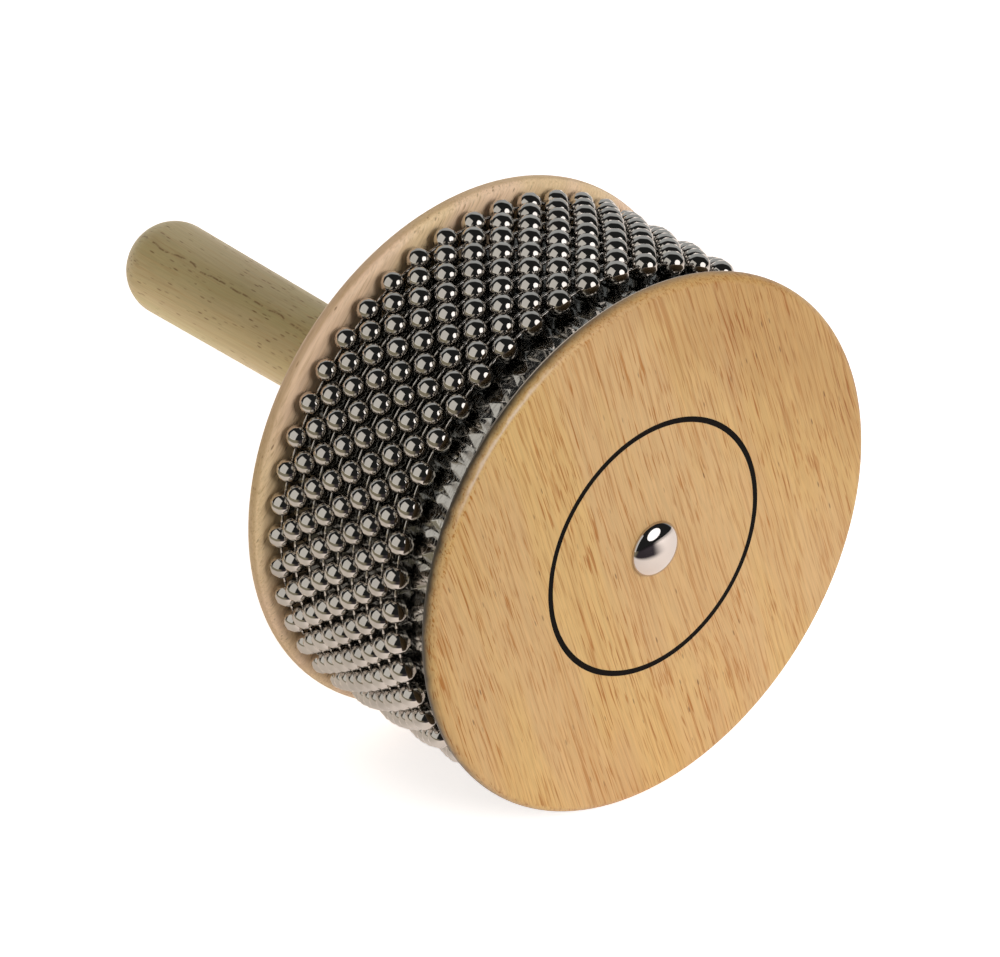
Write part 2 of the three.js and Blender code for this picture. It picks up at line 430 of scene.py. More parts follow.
def add(tree, first, second, clamp=False):
    return arithmetic(tree, "ADD", first, second, clamp)


def subtract(tree, first, second):
    return arithmetic(tree, "SUBTRACT", first, second)


def on_vectors(tree, operation, first, second=(0, 0, 0)):
    """The result of a sum on vectors: a value for a dot product or a length, and a vector otherwise."""
    node = add_node(tree, "ShaderNodeVectorMath", operation=operation)
    feed(tree, node.inputs[0], first)
    feed(tree, node.inputs[1], second)
    return node.outputs["Value" if operation in ("DOT_PRODUCT", "LENGTH") else "Vector"]


def axes_of(tree, vector):
    """The X, Y and Z of a vector."""
    node = add_node(tree, "ShaderNodeSeparateXYZ")
    feed(tree, node.inputs[0], vector)
    return node.outputs[0], node.outputs[1], node.outputs[2]


def noise_value(tree, vector, scale, detail=2.0, roughness=0.5):
    """Smooth noise from 0 to 1 over a vector."""
    node = add_node(tree, "ShaderNodeTexNoise")
    feed(tree, node.inputs["Vector"], vector)
    node.inputs["Scale"].default_value = scale
    node.inputs["Detail"].default_value = detail
    node.inputs["Roughness"].default_value = roughness
    return node.outputs[0]


def ramp(tree, value, low, high, out_low=0.0, out_high=1.0):
    """Spread a stretch of values over another, with soft ends."""
    node = add_node(tree, "ShaderNodeMapRange", interpolation_type="SMOOTHSTEP")
    feed(tree, node.inputs["Value"], value)
    feed(tree, node.inputs["From Min"], low)
    feed(tree, node.inputs["From Max"], high)
    node.inputs["To Min"].default_value = out_low
    node.inputs["To Max"].default_value = out_high
    return node.outputs["Result"]


def band(tree, value, rise, fall):
    """A share that rises from none to all over one stretch of values and falls again over another."""
    return product(tree, ramp(tree, value, *rise), ramp(tree, value, *fall, 1.0, 0.0))


def blend_colours(tree, share, first, second, mode="MIX"):
    """From the first colour to the second, by a share."""
    node = add_node(tree, "ShaderNodeMix", data_type="RGBA", blend_type=mode)
    feed(tree, node.inputs[0], share)
    feed(tree, node.inputs[6], first)
    feed(tree, node.inputs[7], second)
    return node.outputs[2]


def shaded(tree, colour, value):
    """A colour multiplied by a plain value."""
    grey = add_node(tree, "ShaderNodeCombineColor")
    for index in range(3):
        feed(tree, grey.inputs[index], value)
    return blend_colours(tree, 1.0, colour, grey.outputs[0], "MULTIPLY")


def opaque(colour):
    return (*colour, 1.0)


def new_group(name, inputs, outputs):
    """A shader node group with its named inputs and outputs."""
    group = bpy.data.node_groups.new(name, "ShaderNodeTree")
    for label, kind, default in inputs:
        socket = group.interface.new_socket(label, in_out="INPUT", socket_type=kind)
        if default is not None:
            socket.default_value = default
    for label, kind in outputs:
        group.interface.new_socket(label, in_out="OUTPUT", socket_type=kind)
    given, result = group.nodes.new("NodeGroupInput"), group.nodes.new("NodeGroupOutput")
    return group, given.outputs, result.inputs


def use_group(tree, group, **values):
    """Place a node group and feed its inputs by their names."""
    node = add_node(tree, "ShaderNodeGroup", node_tree=group)
    for label, value in values.items():
        feed(tree, node.inputs[label.capitalize()], value)
    return node.outputs


def wood_grain_group():
    """Tones, streaks, dashes and pores of wood whose grain runs along the vector's Z

    Scales say how fine a pattern is across the grain, and along is the share of that along it.
    """
    known = bpy.data.node_groups.get("Wood grain")
    if known:
        return known
    group, given, result = new_group(
        "Wood grain",
        [("Vector", "NodeSocketVector", None), ("Light", "NodeSocketColor", (0.8, 0.55, 0.3, 1)),
         ("Rosy", "NodeSocketColor", (0.7, 0.5, 0.35, 1)), ("Dark", "NodeSocketColor", (0.5, 0.3, 0.1, 1)),
         ("Fleck", "NodeSocketColor", (0.2, 0.1, 0.05, 1)), ("Streaks", "NodeSocketFloat", 0.5),
         ("Dashes", "NodeSocketFloat", 0.5), ("Flecks", "NodeSocketFloat", 0.5)],
        [("Color", "NodeSocketColor"), ("Pores", "NodeSocketFloat"), ("Height", "NodeSocketFloat")])

    def drawn_out(vector, along):
        return on_vectors(group, "MULTIPLY", vector, (1, 1, along))

    waver = add_node(group, "ShaderNodeTexNoise")
    feed(group, waver.inputs["Vector"], drawn_out(given["Vector"], 0.35))
    waver.inputs["Scale"].default_value = 45
    waver.inputs["Detail"].default_value = 1
    centred = on_vectors(group, "SUBTRACT", waver.outputs["Color"], (0.5, 0.5, 0.5))
    bend = on_vectors(group, "MULTIPLY", centred, (0.0035, 0.0035, 0.0))
    grain = on_vectors(group, "ADD", given["Vector"], bend)

    def layer(scale, along, detail, low, high, roughness=0.5):
        """A mask of noise drawn out along the grain."""
        value = noise_value(group, drawn_out(grain, along), scale, detail, roughness)
        return ramp(group, value, low, high)

    hue = layer(scale=70, along=0.2, detail=2, low=0.38, high=0.62)
    broad = layer(scale=150, along=0.05, detail=2, low=0.42, high=0.72)
    streak = layer(scale=1700, along=0.022, detail=3, low=0.48, high=0.70, roughness=0.65)
    dash = layer(scale=3000, along=0.04, detail=1, low=0.57, high=0.70)
    crowd = layer(scale=60, along=0.4, detail=2, low=0.35, high=0.65)
    fibre = noise_value(group, drawn_out(grain, 0.03), scale=2600, detail=2, roughness=0.7)

    # Pores are cells of a pattern, kept by chance and more often where they crowd
    cells = add_node(group, "ShaderNodeTexVoronoi", feature="F1")
    feed(group, cells.inputs["Vector"], drawn_out(grain, 0.2))
    cells.inputs["Scale"].default_value = 1500
    middle = ramp(group, cells.outputs["Distance"], 0.12, 0.34, 1.0, 0.0)
    chance = add_node(group, "ShaderNodeSeparateColor")
    feed(group, chance.inputs[0], cells.outputs["Color"])
    share_kept = product(group, given["Flecks"], add(group, 0.25, crowd))
    kept = arithmetic(group, "GREATER_THAN", chance.outputs[0], subtract(group, 1.0, share_kept))
    weight = add(group, 0.25, product(group, chance.outputs[1], 0.5))
    pores = product(group, middle, kept, weight)

    dashed = product(group, dash, given["Dashes"], add(group, 0.4, product(group, crowd, 0.6)))
    lined = add(group, product(group, broad, 0.16), product(group, streak, given["Streaks"]))
    darkness = add(group, lined, dashed, clamp=True)
    ground = blend_colours(group, hue, given["Light"], given["Rosy"])
    body = blend_colours(group, darkness, ground, given["Dark"])
    fibred = shaded(group, body, ramp(group, fibre, 0.3, 0.7, 0.93, 1.06))
    sunk = add(group, pores, product(group, dashed, 0.5))
    feed(group, result["Color"], blend_colours(group, pores, fibred, given["Fleck"]))
    feed(group, result["Pores"], pores)
    feed(group, result["Height"], subtract(group, product(group, fibre, 0.25), sunk))
    return group


def handled_metal_group():
    """Smudges and fine scratches of metal that is handled and rubbed"""
    known = bpy.data.node_groups.get("Handled metal")
    if known:
        return known
    group, given, result = new_group(
        "Handled metal",
        [("Vector", "NodeSocketVector", None), ("Base", "NodeSocketColor", (0.6, 0.6, 0.6, 1)),
         ("Low", "NodeSocketFloat", 0.08), ("High", "NodeSocketFloat", 0.2)],
        [("Color", "NodeSocketColor"), ("Roughness", "NodeSocketFloat"), ("Height", "NodeSocketFloat")])
    vector = given["Vector"]
    smudge = ramp(group, noise_value(group, vector, scale=260, detail=3, roughness=0.6), 0.35, 0.7)
    scratched = noise_value(group, on_vectors(group, "MULTIPLY", vector, (1, 30, 1)), scale=420)
    rubbed = ramp(group, scratched, 0.55, 0.75)
    share = add(group, product(group, smudge, 0.6), product(group, rubbed, 0.4), clamp=True)
    spread = subtract(group, given["High"], given["Low"])
    tarnish = ramp(group, noise_value(group, vector, scale=90), 0.4, 0.8, 1.0, 0.86)
    feed(group, result["Color"], shaded(group, given["Base"], tarnish))
    feed(group, result["Roughness"], add(group, given["Low"], product(group, spread, share)))
    feed(group, result["Height"], rubbed)
    return group


# Materials

# The front disc's painted shade on its rim and inner side, and painted highlights on its rim's edges. Depths
# are behind its front face, and places across it and heights are from its centre, to the right and up.
# The inner side, facing the beads, is painted dark as shade
INNER_SIDE = (0.0036, 0.0038)
INNER_SHADE = 0.92
DEEP_WOOD = (0.052, 0.085)
# Painted shade on the rim, heaviest on the left and lighter towards the right
RIM_SHADE = (0.0008, 0.0034)
RIM_SHADE_ACROSS = (-0.036, 0.004)
RIM_SHADE_LEAST = 0.45
# Painted highlights: along the rim's back edge, except on the far left, and along its front edge at the upper
# left
BACK_EDGE_HIGHLIGHT = ((0.0027, 0.0030), (0.0034, 0.0036))
BACK_EDGE_HIGHLIGHT_ACROSS = (-0.05, -0.02)
FRONT_EDGE_HIGHLIGHT = ((0.0002, 0.0005), (0.0010, 0.0016))
FRONT_EDGE_HIGHLIGHT_ACROSS = ((-0.053, -0.045), (-0.036, -0.02))
FRONT_EDGE_HIGHLIGHT_HEIGHT = 0.02
FRONT_EDGE_HIGHLIGHT_SHARE = 0.6

# The back disc's grain, as a lean from upright, and its rim, a little darker from a depth behind its face
BACK_DISC_GRAIN = math.radians(-38)
BACK_RIM_DEPTH = 0.0014
BACK_RIM_SHARE = 0.5

# The thin dark line along the handle: its turn from the top, its ends before the tip and their fade, how
# far it wanders, its half width with soft sides, and how dark it is
LINE_TURN = math.radians(-33)
LINE_START, LINE_END = 0.06, 0.004
LINE_FADE = 0.003
LINE_BEND = 0.004
LINE_SIDES = (0.0001, 0.00028)
LINE_SHARE = 0.7


def new_material(name):
    """A node material, its tree, its Principled shader and its object coordinates."""
    material = bpy.data.materials.new(name)
    material.use_nodes = True
    tree = material.node_tree
    place = add_node(tree, "ShaderNodeTexCoord").outputs["Object"]
    return material, tree, tree.nodes["Principled BSDF"].inputs, place


def add_bump(tree, shader, height, distance):
    """Raise and sink the surface by a height from 0 to 1, over a distance."""
    bump = add_node(tree, "ShaderNodeBump")
    bump.inputs["Strength"].default_value = 1.0
    bump.inputs["Distance"].default_value = distance
    feed(tree, bump.inputs["Height"], height)
    feed(tree, shader["Normal"], bump.outputs["Normal"])


def wood_material(name, tones, turn, streaks, dashes, flecks, varnish, paint=None):
    """Varnished wood. The turn brings the grain onto the pattern's Z axis, and paint changes the colour."""
    light, rosy, dark = (opaque(tone) for tone in tones)
    material, tree, shader, place = new_material(name)
    mapping = add_node(tree, "ShaderNodeMapping", vector_type="POINT")
    mapping.inputs["Rotation"].default_value = turn
    feed(tree, mapping.inputs["Vector"], place)
    grain = use_group(
        tree, wood_grain_group(), vector=mapping.outputs[0], light=light, rosy=rosy, dark=dark,
        fleck=opaque(bpy.context.scene.cabasa_finish.fleck), streaks=streaks, dashes=dashes, flecks=flecks)
    colour = paint(tree, place, grain["Color"]) if paint else grain["Color"]
    feed(tree, shader["Base Color"], colour)
    feed(tree, shader["Roughness"], ramp(tree, grain["Pores"], 0.0, 1.0, 0.42, 0.7))
    feed(tree, shader["Specular IOR Level"], 0.3)
    feed(tree, shader["Coat Weight"], varnish)
    feed(tree, shader["Coat Roughness"], 0.25)
    add_bump(tree, shader, grain["Height"], 0.00004)
    return material


def paint_front_disc(tree, place, wood):
    """Deepen the wood's upper right, paint shade on the rim and the inner side, and paint highlights on the
    rim's edges.
    """
    finish = bpy.context.scene.cabasa_finish
    dark, pale = opaque(finish.rim_painted_shade), opaque(finish.rim_painted_highlight)
    across, along, up = axes_of(tree, place)
    height = subtract(tree, up, AXIS_HEIGHT)
    depth = subtract(tree, along, FRONT_FACE)
    uneven_depth = add(tree, depth, product(tree, noise_value(tree, place, scale=400), 0.0012))

    patchy = product(tree, noise_value(tree, place, scale=60), 0.04)
    upper_right = add(tree, add(tree, across, height), patchy)
    wood = blend_colours(
        tree, ramp(tree, upper_right, *DEEP_WOOD), wood, opaque(finish.gold_deep), "MULTIPLY")

    # Painted shade on the rim, heaviest on the left
    rim_shade = product(tree, ramp(tree, uneven_depth, *RIM_SHADE), ramp(
        tree, across, *RIM_SHADE_ACROSS, 1.0, RIM_SHADE_LEAST))
    rim = blend_colours(tree, rim_shade, wood, dark)
    # Painted shade on the inner side, which faces the beads
    inner_side = blend_colours(tree, INNER_SHADE, wood, dark)
    with_painted_shade = blend_colours(tree, ramp(tree, depth, *INNER_SIDE), rim, inner_side)

    # Painted highlights on the rim's back and front edges
    back_edge_highlight = product(tree, band(tree, depth, *BACK_EDGE_HIGHLIGHT), ramp(tree, across, *BACK_EDGE_HIGHLIGHT_ACROSS))
    front_edge_highlight = product(
        tree, ramp(tree, depth, *FRONT_EDGE_HIGHLIGHT[0]), ramp(tree, uneven_depth, *FRONT_EDGE_HIGHLIGHT[1], 1.0, 0.0),
        ramp(tree, across, *FRONT_EDGE_HIGHLIGHT_ACROSS[0], 0.0, FRONT_EDGE_HIGHLIGHT_SHARE),
        ramp(tree, across, *FRONT_EDGE_HIGHLIGHT_ACROSS[1], 1.0, 0.0), ramp(tree, height, 0.0, FRONT_EDGE_HIGHLIGHT_HEIGHT))
    return blend_colours(tree, add(tree, back_edge_highlight, front_edge_highlight, clamp=True), with_painted_shade, pale)


def paint_back_disc(tree, place, wood):
    """Darken the rim a little."""
    depth = subtract(tree, axes_of(tree, place)[1], BACK_DISC[0].y)
    share = ramp(tree, depth, BACK_RIM_DEPTH / 2, BACK_RIM_DEPTH, 0.0, BACK_RIM_SHARE)
    return blend_colours(tree, share, wood, opaque(bpy.context.scene.cabasa_finish.pale_dark))


def paint_handle(tree, place, wood):
    """Draw a thin broken line of dark pores along the handle."""
    tip = HANDLE[1].y
    turned = add_node(tree, "ShaderNodeVectorRotate", rotation_type="Y_AXIS")
    feed(tree, turned.inputs["Vector"], on_vectors(tree, "SUBTRACT", place, (0, 0, AXIS_HEIGHT)))
    turned.inputs["Angle"].default_value = -LINE_TURN
    across, along, out = axes_of(tree, turned.outputs[0])
    only_along = on_vectors(tree, "MULTIPLY", place, (0, 1, 0))
    wander = subtract(tree, noise_value(tree, only_along, scale=70, detail=3), 0.5)
    off_line = arithmetic(
        tree, "ABSOLUTE", add(tree, across, product(tree, wander, LINE_BEND)), 0.0)
    near = product(tree, ramp(tree, off_line, *LINE_SIDES, 1.0, 0.0), ramp(tree, out, 0.0, 0.001))
    broken = ramp(tree, noise_value(tree, only_along, scale=420), 0.42, 0.55)
    start, end = tip - LINE_START, tip - LINE_END
    length = band(tree, along, (start, start + LINE_FADE), (end - LINE_FADE, end))
    share = product(tree, near, broken, product(tree, length, LINE_SHARE))
    return blend_colours(tree, share, wood, opaque(bpy.context.scene.cabasa_finish.fleck))


def golden_wood():
    """The front disc's wood"""
    finish = bpy.context.scene.cabasa_finish
    return wood_material(
        "Golden wood", (finish.gold_light, finish.gold_rosy, finish.gold_dark), (0.0, finish.grain_lean, 0.0),
        streaks=0.62, dashes=0.9, flecks=0.06, varnish=0.15, paint=paint_front_disc)


def pale_wood(name, light, rosy, turn, flecks, paint=None):
    """The wood of the other pieces, with softer streaks"""
    return wood_material(
        name, (light, rosy, bpy.context.scene.cabasa_finish.pale_dark), turn,
        streaks=0.3, dashes=0.4, flecks=flecks, varnish=0.1, paint=paint)


def metal_material(name, colour, low, high):
    """Bright metal with smudges, from a low to a high roughness."""
    material, tree, shader, place = new_material(name)
    surface = use_group(tree, handled_metal_group(), vector=place, base=opaque(colour), low=low, high=high)
    feed(tree, shader["Metallic"], 1.0)
    feed(tree, shader["Base Color"], surface["Color"])
    feed(tree, shader["Roughness"], surface["Roughness"])
    return material


def steel_with_painted_shade():
    """Embossed steel: bright beside the front disc, with painted shade where the beads cover it"""
    finish = bpy.context.scene.cabasa_finish
    material, tree, shader, place = new_material("Steel with painted shade")
    uneven = product(tree, noise_value(tree, place, scale=300), 0.0016)
    along = add(tree, axes_of(tree, place)[1], uneven)
    edge = CORE[0].y + bpy.context.scene.cabasa_sleeve.lit_strip
    bright = use_group(
        tree, handled_metal_group(), vector=place, base=opaque(finish.steel), low=0.03, high=0.1)
    # Past the lit strip, painted shade darkens the sleeve between the beads
    feed(tree, shader["Base Color"], blend_colours(
        tree, ramp(tree, along, edge, edge + 0.0012), bright["Color"], opaque(finish.steel_painted_shade)))
    feed(tree, shader["Roughness"], bright["Roughness"])
    feed(tree, shader["Metallic"], 1.0)
    add_bump(tree, shader, bright["Height"], 0.00001)
    return material


def ink():
    """The ring's ink, a little thin along the grain"""
    finish = bpy.context.scene.cabasa_finish
    material, tree, shader, place = new_material("Ring ink")
    drawn_out = on_vectors(tree, "MULTIPLY", place, (1, 1, 0.15))
    thin = ramp(tree, noise_value(tree, drawn_out, scale=1200), 0.6, 0.9, 0.0, 0.04)
    feed(tree, shader["Base Color"], blend_colours(tree, thin, opaque(finish.ink), opaque(finish.gold_dark)))
    feed(tree, shader["Roughness"], 0.7)
    feed(tree, shader["Specular IOR Level"], 0.1)
    return material


def dress(piece, *materials):
    """Give a piece its materials, and only those."""
    piece.data.materials.clear()
    for material in materials:
        piece.data.materials.append(material)


def place_piece(piece, body, slot, *nodes):
    """Attach a finished piece to its body and hide the nodes it stands for. The slot is not used."""
    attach(piece, body)
    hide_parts(*nodes)


# Discs

def open_hole(front, back, radius):
    """Cut the hole that the bolt passes through, out of the two middle faces."""
    pick("FACE", is_many_sided)
    bpy.ops.mesh.delete(type="FACE")
    pick("EDGE", lambda edge: edge_at(edge, radius, front) or edge_at(edge, radius, back))
    bpy.ops.mesh.bridge_edge_loops()


def inset_middle(y, radii, reach):
    """Inset the middle face of a disc at each of a row of radii, from the outside in."""
    for outer, inner in zip(radii, radii[1:]):
        pick("FACE", lambda face: is_many_sided(face) and abs(face.calc_center_median().y - y) < reach)
        bpy.ops.mesh.inset(thickness=outer - inner, depth=0, use_even_offset=True)


def model_disc(name, box, rings):
    """A turned disc: rounded edges, rings inset in its front face, and a hole through it."""
    sizes = bpy.context.scene.cabasa_discs
    front, back = box[0].y, box[1].y
    begin()
    add_drum(DISC_RADIUS, front, back, sizes.sides)
    piece = named(name)
    enter("EDGE")
    pick("EDGE", lambda edge: edge_at(edge, DISC_RADIUS, front) or edge_at(edge, DISC_RADIUS, back))
    round_off(sizes.edge_radius, sizes.edge_steps)
    flat_radius = DISC_RADIUS - sizes.edge_radius
    reach = (back - front) / 4
    inset_middle(front, [flat_radius, *rings, sizes.hole_radius], reach)
    inset_middle(back, [flat_radius, sizes.hole_radius], reach)
    if rings:
        pick("EDGE", lambda edge: any(edge_at(edge, ring, front) for ring in rings))
        bpy.ops.transform.translate(value=(0, 0, sizes.ring_lift))
    open_hole(front, back, sizes.hole_radius)
    mend_normals()
    leave()
    smooth(piece)
    return piece


class CABASA_OT_front_disc(bpy.types.Operator):
    """Model the front disc with its thin printed ring"""

    bl_idname = "cabasa.front_disc"
    bl_label = "Front disc"

    def execute(self, context):
        sizes = context.scene.cabasa_discs
        outer = sizes.ring_radius + sizes.ring_width / 2
        inner = sizes.ring_radius - sizes.ring_width / 2
        piece = model_disc("front_disc_wood", FRONT_DISC, [outer, inner])
        dress(piece, golden_wood(), ink())
        lift = Vector((0, 0, sizes.ring_lift))
        for face in piece.data.polygons:
            on_front = abs(face.center.y - FRONT_FACE) < sizes.edge_radius / 4
            if on_front and inner < axis_distance(face.center - lift) < outer:
                face.material_index = 1
        place_piece(piece, FIXED_BODY, "front_disc_wood", "front_disc")
        return {"FINISHED"}


class CABASA_OT_back_disc(bpy.types.Operator):
    """Model the plain back disc"""

    bl_idname = "cabasa.back_disc"
    bl_label = "Back disc"

    def execute(self, context):
        piece = model_disc("back_disc_wood", BACK_DISC, [])
        finish = context.scene.cabasa_finish
        dress(piece, pale_wood(
            "Pale wood disc", finish.pale_light, finish.pale_rosy, (0.0, BACK_DISC_GRAIN, 0.0), flecks=0.3,
            paint=paint_back_disc))
        place_piece(piece, FIXED_BODY, "pale_wood", "back_disc")
        return {"FINISHED"}


# Handle and sleeve

# Facets along the handle's tip, its swell and its rounded end beside the disc, and at a point of the sleeve
TIP_STEPS = 16
SWELL_STEPS = 6
DISC_END_STEPS = 3
POINT_STEPS = 2


class CABASA_OT_handle(bpy.types.Operator):
    """Model the handle: a dowel that swells towards its round tip, with a bore for the insert"""

    bl_idname = "cabasa.handle"
    bl_label = "Handle"

    def execute(self, context):
        sizes, finish = context.scene.cabasa_handle, context.scene.cabasa_finish
        front, back = HANDLE[0].y, HANDLE[1].y
        radius = (HANDLE[1].z - HANDLE[0].z) / 2
        begin()
        add_drum(radius, front, back, sizes.sides)
        piece = named("handle_wood")
        enter("EDGE")
        pick("EDGE", lambda edge: edge_at(edge, radius, back))
        round_off(sizes.tip_radius, TIP_STEPS)
        middle_radius = (sizes.disc_end_radius + sizes.waist_radius) / 2
        rings = [(0.0, sizes.disc_end_radius), (sizes.waist / 2, middle_radius)]
        swell = back - front - sizes.tip_radius - sizes.waist
        for step in range(SWELL_STEPS):
            share = step / SWELL_STEPS
            bulge = (radius - sizes.waist_radius) * math.sin(share * QUARTER_TURN)
            rings.append((sizes.waist + swell * share, sizes.waist_radius + bulge))
        for place, ring_radius in rings:
            y = front + place
            if place > 0:
                bpy.ops.mesh.select_all(action="SELECT")
                bpy.ops.mesh.bisect(plane_co=(0, y, AXIS_HEIGHT), plane_no=(0, 1, 0))
            pick("EDGE", lambda edge: edge_at(edge, radius, y))
            scale_at(y, ring_radius / radius)
        pick("EDGE", lambda edge: edge_at(edge, sizes.disc_end_radius, front))
        round_off(sizes.edge_radius, DISC_END_STEPS)
        middle = (front + back) / 2
        pick("FACE", lambda face: is_many_sided(face) and face.calc_center_median().y < middle)
        bpy.ops.mesh.inset(
            thickness=sizes.disc_end_radius - sizes.edge_radius - sizes.bore_radius, depth=0)
        push_back(sizes.bore_depth)
        mend_normals()
        leave()
        smooth(piece)
        # The handle's darker, more olive tones are painted shade
        dress(piece, pale_wood(
            "Pale wood handle", finish.shaded_olive_light, finish.shaded_olive_rosy, (QUARTER_TURN, 0.0, 0.0), flecks=1.0,
            paint=paint_handle))
        place_piece(piece, FIXED_BODY, "pale_wood", "handle")
        return {"FINISHED"}


class CABASA_OT_sleeve(bpy.types.Operator):
    """Model the steel sleeve with its rows of pressed points"""

    bl_idname = "cabasa.sleeve"
    bl_label = "Steel sleeve"

    def execute(self, context):
        sizes = context.scene.cabasa_sleeve
        valley = sizes.radius - sizes.depth
        columns = 2 * round(math.pi * sizes.radius / sizes.pitch)
        front, back = CORE[0].y, CORE[1].y
        rows = round((back - front) / sizes.row_pitch)
        begin()
        add_drum(valley, front, back, columns, fill="NOTHING")
        piece = named("steel_sleeve_sheet")
        enter("EDGE")
        pick("EDGE", lambda edge: abs(edge.verts[0].co.y - edge.verts[1].co.y) > sizes.pitch)
        bpy.ops.mesh.subdivide(number_cuts=rows - 1)
        bpy.ops.mesh.select_mode(type="FACE")
        bpy.ops.mesh.select_all(action="SELECT")
        bpy.ops.mesh.poke(offset=sizes.depth, use_relative_offset=False, center_mode="MEDIAN")
        pick("VERT", lambda vertex: axis_distance(vertex.co) > sizes.radius - sizes.depth / 3)
        bpy.ops.mesh.bevel(offset=sizes.tip, offset_type="OFFSET", segments=POINT_STEPS, affect="VERTICES")
        leave()
        smooth(piece, 30)
        wall = piece.modifiers.new("Sheet", "SOLIDIFY")
        wall.thickness = sizes.sheet
        wall.offset = -1
        bpy.ops.object.modifier_apply(modifier=wall.name)
        dress(piece, steel_with_painted_shade())
        place_piece(piece, FIXED_BODY, "sleeve_steel", "steel_sleeve")
        return {"FINISHED"}


# Ball chain

# A link's sides, how far from its centre it enters a ball, as a share of the ball's radius, and how much
# its ends draw in, as a share of its own
LINK_SIDES = 6
LINK_SEAT = 0.88
LINK_DRAW = 0.6

# How the loose loops lie, away from even circles, as waves round the drum: a constant, then the cosine
# and sine of the angle and of twice the angle. The last loop adds its own waves to those of the first.
# Slack side is the side they hang to; away from it, past the reach, the loops don't drift along the drum.
FIRST_LOOP_TURN = (0.027, -0.031, -0.006, 0.0, 0.0)
LAST_LOOP_TURN = (-0.003, 0.006, 0.017, 0.0, 0.0)
FIRST_LOOP_SHIFT = (0.00028, -0.00069, 0.00015, 0.0, 0.0)
LAST_LOOP_SHIFT = (0.00039, 0.00037, 0.00100, -0.00007, -0.00090)
SHIFT_LIMITS = (-0.0006, 0.0003)
SLACK_SIDE = math.radians(-55)
SLACK_REACH = (-0.9, -0.3)


def clamp(value, low, high):
    return min(max(value, low), high)


def wave(first, last, share, angle):
    """A wave's height at an angle, for a loop that lies a share of the way from the first to the last."""
    terms = (1, math.cos(angle), math.sin(angle), math.cos(2 * angle), math.sin(2 * angle))
    return sum((low + added * share) * term for low, added, term in zip(first, last, terms))


def slack_lie(share, angle):
    """How far a loop's chain lies from its even place: round the drum in radians, and along it."""
    none, full = SLACK_REACH
    fade = clamp((math.cos(angle - SLACK_SIDE) - none) / (full - none), 0, 1)
    shift = clamp(wave(FIRST_LOOP_SHIFT, LAST_LOOP_SHIFT, share, angle), *SHIFT_LIMITS)
    return wave(FIRST_LOOP_TURN, LAST_LOOP_TURN, share, angle), shift * fade * fade * (3 - 2 * fade)


def model_loop(name, loop, y):
    """One closed loop of chain: a ball and a bar, turned round the axis bead by bead."""
    sizes = bpy.context.scene.cabasa_chain
    step = 2 * math.pi / sizes.beads
    turn = -(sizes.first_share + loop / 2) * step
    centre = Vector((0, y, AXIS_HEIGHT))

    def at(angle, radius):
        return centre + Vector((math.sin(angle), 0, math.cos(angle))) * radius

    begin()
    bpy.ops.mesh.primitive_uv_sphere_add(
        segments=sizes.bead_segments, ring_count=sizes.bead_rings, radius=sizes.bead_radius,
        location=at(turn, sizes.circle_radius), rotation=(0, QUARTER_TURN + turn, 0))
    piece = bpy.context.object
    piece.scale.z = sizes.bead_length
    piece = named(name)
    chord = 2 * sizes.circle_radius * math.sin(step / 2)
    enter("VERT")
    bpy.ops.mesh.primitive_cylinder_add(
        vertices=LINK_SIDES, radius=sizes.link_radius, depth=sizes.link_middle,
        location=at(turn + step / 2, sizes.circle_radius * math.cos(step / 2)),
        rotation=(0, QUARTER_TURN + turn + step / 2, 0))
    pick("FACE", is_many_sided)
    bpy.ops.mesh.inset(
        thickness=sizes.link_radius * LINK_DRAW,
        depth=chord / 2 - sizes.bead_radius * LINK_SEAT - sizes.link_middle / 2)
    bpy.ops.mesh.select_all(action="SELECT")
    bpy.ops.mesh.spin(
        steps=sizes.beads - 1, dupli=True, angle=2 * math.pi - step, center=centre, axis=(0, 1, 0))
    leave()
    share = loop / (len(LOOP_NODES) - 1)
    for vertex in piece.data.vertices:
        angle = math.atan2(vertex.co.x, vertex.co.z - AXIS_HEIGHT)
        radius = axis_distance(vertex.co)
        turned, shifted = slack_lie(share, angle)
        place = at(angle + turned * sizes.slack, radius)
        vertex.co = (place.x, vertex.co.y + shifted * sizes.slack, place.z)
    smooth(piece, 60)
    return piece


class CABASA_OT_chain(bpy.types.Operator):
    """Model the loops of ball chain, each on its own body"""

    bl_idname = "cabasa.chain"
    bl_label = "Bead loops"

    def execute(self, context):
        finish = context.scene.cabasa_finish
        plate = metal_material("Nickel plate", finish.nickel, low=0.03, high=0.10)
        for loop, node in enumerate(LOOP_NODES):
            low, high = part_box(node)
            piece = model_loop(f"{node}_chain", loop, (low.y + high.y) / 2)
            dress(piece, plate)
            place_piece(piece, f"loop_{loop + 1}", "bead_steel", node)
        return {"FINISHED"}


